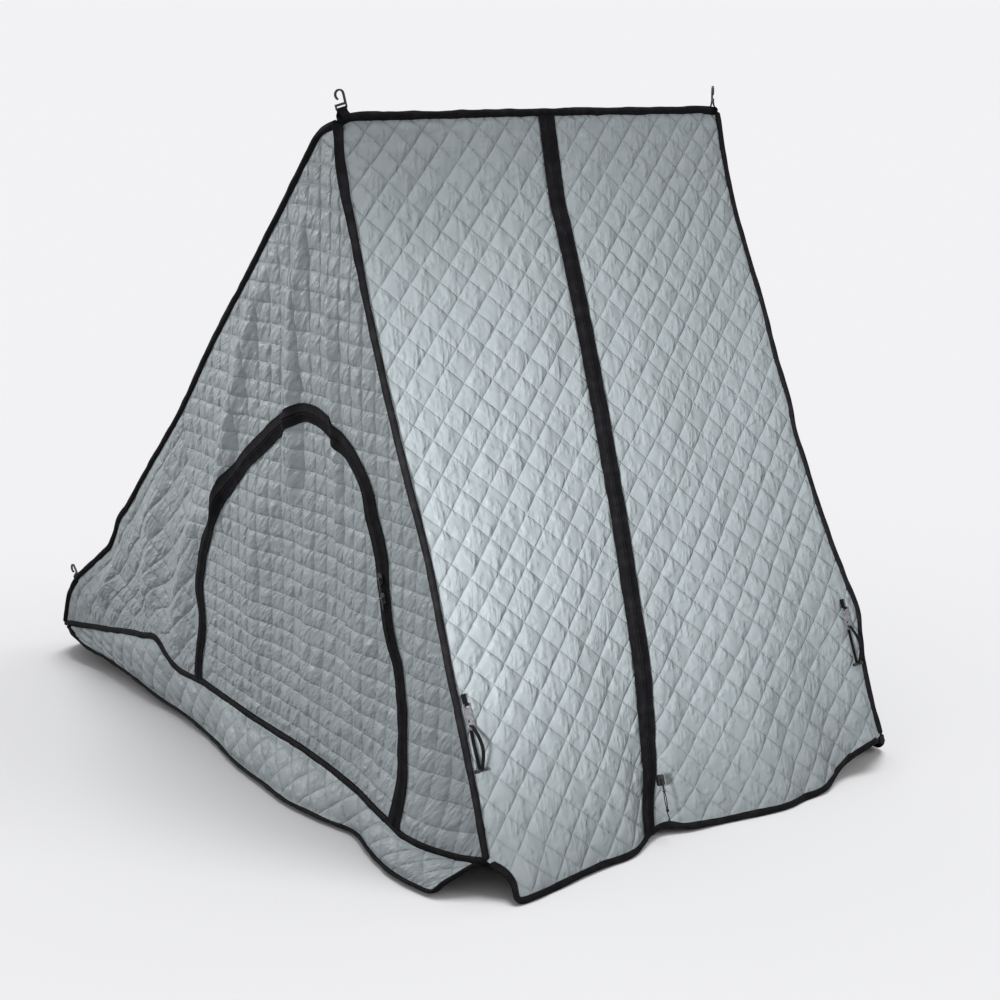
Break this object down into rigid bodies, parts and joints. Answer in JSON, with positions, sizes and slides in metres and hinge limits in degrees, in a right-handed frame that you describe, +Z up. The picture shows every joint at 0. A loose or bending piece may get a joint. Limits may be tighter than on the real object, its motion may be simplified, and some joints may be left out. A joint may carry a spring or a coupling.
{
  "type": "quilted inner tent",
  "caption": "Quilted insulating inner tent for a wedge roof tent: zipped front, zipped doors in both gables, skirts, and hooks on webbing tabs.",
  "frame": {"origin": "on the floor at the middle of the footprint", "axes": "+X along the ridge to the tent's right as seen from the front, +Y from the steep front to the low back, +Z up"},
  "size_m": [1.4074, 2.274, 1.7286],
  "materials": {
    "quilt": "quilted nylon, soft sheen",
    "binding": "woven binding tape",
    "zip_tape": "woven zip tape",
    "zip_metal": "black coated",
    "cord": "braided",
    "webbing": "woven webbing",
    "hook_plastic": "moulded",
    "smoke_plastic": "smoky moulded"
  },
  "bodies": {
    "root": {"back_panel": "quilt", "front_panel_left": "quilt", "front_panel_right": "quilt", "gable_left": "quilt", "gable_right": "quilt", "skirt_left": "quilt", "skirt_right": "quilt", "skirt_back": "quilt", "ridge_binding": "binding", "corner_bindings_front": "binding", "corner_bindings_back": "binding", "sill_bindings": "binding", "hem_bindings": "binding", "front_zip_top": "zip_tape", "door_zip_frame_left": "zip_tape", "door_zip_frame_right": "zip_tape", "hook_tabs": "webbing", "strap_anchors": "webbing"},
    "front_slider": {"front_slider": "zip_metal"},
    "front_pull": {"front_pull_tab": "zip_metal", "front_pull_cord": "cord", "front_pull_knot": "cord"},
    "flap_left": {"front_flap_left": "quilt", "front_zip_tape_left": "zip_tape", "front_hem_left": "binding"},
    "flap_right": {"front_flap_right": "quilt", "front_zip_tape_right": "zip_tape", "front_hem_right": "binding"},
    "door_left": {"door_left": "quilt", "door_zip_tape_left": "zip_tape"},
    "door_slider_high_left": {"door_slider_high_left": "zip_metal"},
    "door_slider_low_left": {"door_slider_low_left": "zip_metal"},
    "door_pull_high_left": {"door_pull_tab_high_left": "zip_metal"},
    "door_pull_low_left": {"door_pull_tab_low_left": "zip_metal", "door_pull_cord_left": "cord", "door_pull_knot_left": "cord"},
    "door_right": {"door_right": "quilt", "door_zip_tape_right": "zip_tape"},
    "door_slider_high_right": {"door_slider_high_right": "zip_metal"},
    "door_slider_low_right": {"door_slider_low_right": "zip_metal"},
    "door_pull_high_right": {"door_pull_tab_high_right": "zip_metal"},
    "door_pull_low_right": {"door_pull_tab_low_right": "zip_metal", "door_pull_cord_right": "cord", "door_pull_knot_right": "cord"},
    "hook_ridge_left": {"hook_ridge_left": "hook_plastic"},
    "hook_ridge_right": {"hook_ridge_right": "hook_plastic"},
    "hook_back_left": {"hook_back_left": "hook_plastic"},
    "hook_back_right": {"hook_back_right": "hook_plastic"},
    "strap_left": {"strap_buckle_left": "smoke_plastic", "strap_loop_left": "webbing", "strap_toggle_left": "hook_plastic"},
    "strap_right": {"strap_buckle_right": "smoke_plastic", "strap_loop_right": "webbing", "strap_toggle_right": "hook_plastic"}
  },
  "joints": [
    {"name": "front_zip", "type": "slide", "parent": "root", "child": "front_slider", "axis": [0.0724, 0.3698, 0.9263], "range_m": [0, 1.4714]},
    {"name": "flap_left_fold", "type": "hinge", "parent": "root", "child": "flap_left", "pos_m": [-0.01086, -0.52719, 1.52654], "axis": [-0.3785, -0.3432, -0.8596], "range_deg": [0, 100]},
    {"name": "flap_right_fold", "type": "hinge", "parent": "root", "child": "flap_right", "pos_m": [-0.01086, -0.52719, 1.52654], "axis": [-0.3896, 0.3415, 0.8554], "range_deg": [0, 100]},
    {"name": "front_pull_swing", "type": "hinge", "parent": "front_slider", "child": "front_pull", "pos_m": [-0.11878, -1.08597, 0.14795], "axis": [-0.9974, 0.0268, 0.0672], "range_deg": [0, 150]},
    {"name": "door_left_zip", "type": "slide", "parent": "root", "child": "door_slider_low_left", "axis": [-0.0246, -0.2702, -0.9625], "range_m": [0, 0.4]},
    {"name": "door_left_fold", "type": "hinge", "parent": "root", "child": "door_left", "pos_m": [-0.64374, -0.468, 0.1061], "axis": [0, -1, 0], "range_deg": [0, 94]},
    {"name": "door_left_zip_high", "type": "slide", "parent": "root", "child": "door_slider_high_left", "axis": [0.0246, 0.2702, 0.9625], "range_m": [0, 0.075]},
    {"name": "door_left_pull_high_swing", "type": "hinge", "parent": "door_slider_high_left", "child": "door_pull_high_left", "pos_m": [-0.63805, -0.68167, 0.63529], "axis": [-0.0069, 0.9628, -0.2701], "range_deg": [0, 150]},
    {"name": "door_left_pull_low_swing", "type": "hinge", "parent": "door_slider_low_left", "child": "door_pull_low_left", "pos_m": [-0.63915, -0.69383, 0.59198], "axis": [-0.0069, 0.9628, -0.2701], "range_deg": [0, 150]},
    {"name": "door_right_zip", "type": "slide", "parent": "root", "child": "door_slider_low_right", "axis": [0.0246, -0.2702, -0.9625], "range_m": [0, 0.4]},
    {"name": "door_right_fold", "type": "hinge", "parent": "root", "child": "door_right", "pos_m": [0.64374, -0.468, 0.1061], "axis": [0, 1, 0], "range_deg": [0, 94]},
    {"name": "door_right_zip_high", "type": "slide", "parent": "root", "child": "door_slider_high_right", "axis": [-0.0246, 0.2702, 0.9625], "range_m": [0, 0.075]},
    {"name": "door_right_pull_high_swing", "type": "hinge", "parent": "door_slider_high_right", "child": "door_pull_high_right", "pos_m": [0.63805, -0.68167, 0.63529], "axis": [-0.0069, -0.9628, 0.2701], "range_deg": [0, 150]},
    {"name": "door_right_pull_low_swing", "type": "hinge", "parent": "door_slider_low_right", "child": "door_pull_low_right", "pos_m": [0.63915, -0.69383, 0.59198], "axis": [-0.0069, -0.9628, 0.2701], "range_deg": [0, 150]},
    {"name": "hook_ridge_left_swing", "type": "hinge", "parent": "root", "child": "hook_ridge_left", "pos_m": [-0.578, -0.468, 1.685], "axis": [0.9703, 0, 0.2419], "range_deg": [-70, 70]},
    {"name": "hook_ridge_right_swing", "type": "hinge", "parent": "root", "child": "hook_ridge_right", "pos_m": [0.578, -0.468, 1.685], "axis": [0.6018, 0.7986, 0], "range_deg": [-70, 70]},
    {"name": "hook_back_left_swing", "type": "hinge", "parent": "root", "child": "hook_back_left", "pos_m": [-0.63666, 0.99957, 0.26306], "axis": [0, -0.7057, 0.7085], "range_deg": [-70, 70]},
    {"name": "hook_back_right_swing", "type": "hinge", "parent": "root", "child": "hook_back_right", "pos_m": [0.63666, 0.99957, 0.26306], "axis": [0, -0.7057, 0.7085], "range_deg": [-70, 70]},
    {"name": "strap_left_swing", "type": "hinge", "parent": "root", "child": "strap_left", "pos_m": [-0.60806, -0.97796, 0.41038], "axis": [-1, 0, 0], "range_deg": [0, 90]},
    {"name": "strap_right_swing", "type": "hinge", "parent": "root", "child": "strap_right", "pos_m": [0.60806, -0.97796, 0.41038], "axis": [-1, 0, 0], "range_deg": [0, 90]}
  ],
  "couplings": [
    {"joint": "flap_left_fold", "follows": "front_zip", "rad_per_m": 1.185},
    {"joint": "flap_right_fold", "follows": "front_zip", "rad_per_m": 1.185},
    {"joint": "door_left_fold", "follows": "door_left_zip", "rad_per_m": 4.0972},
    {"joint": "door_right_fold", "follows": "door_right_zip", "rad_per_m": 4.0972}
  ]
}
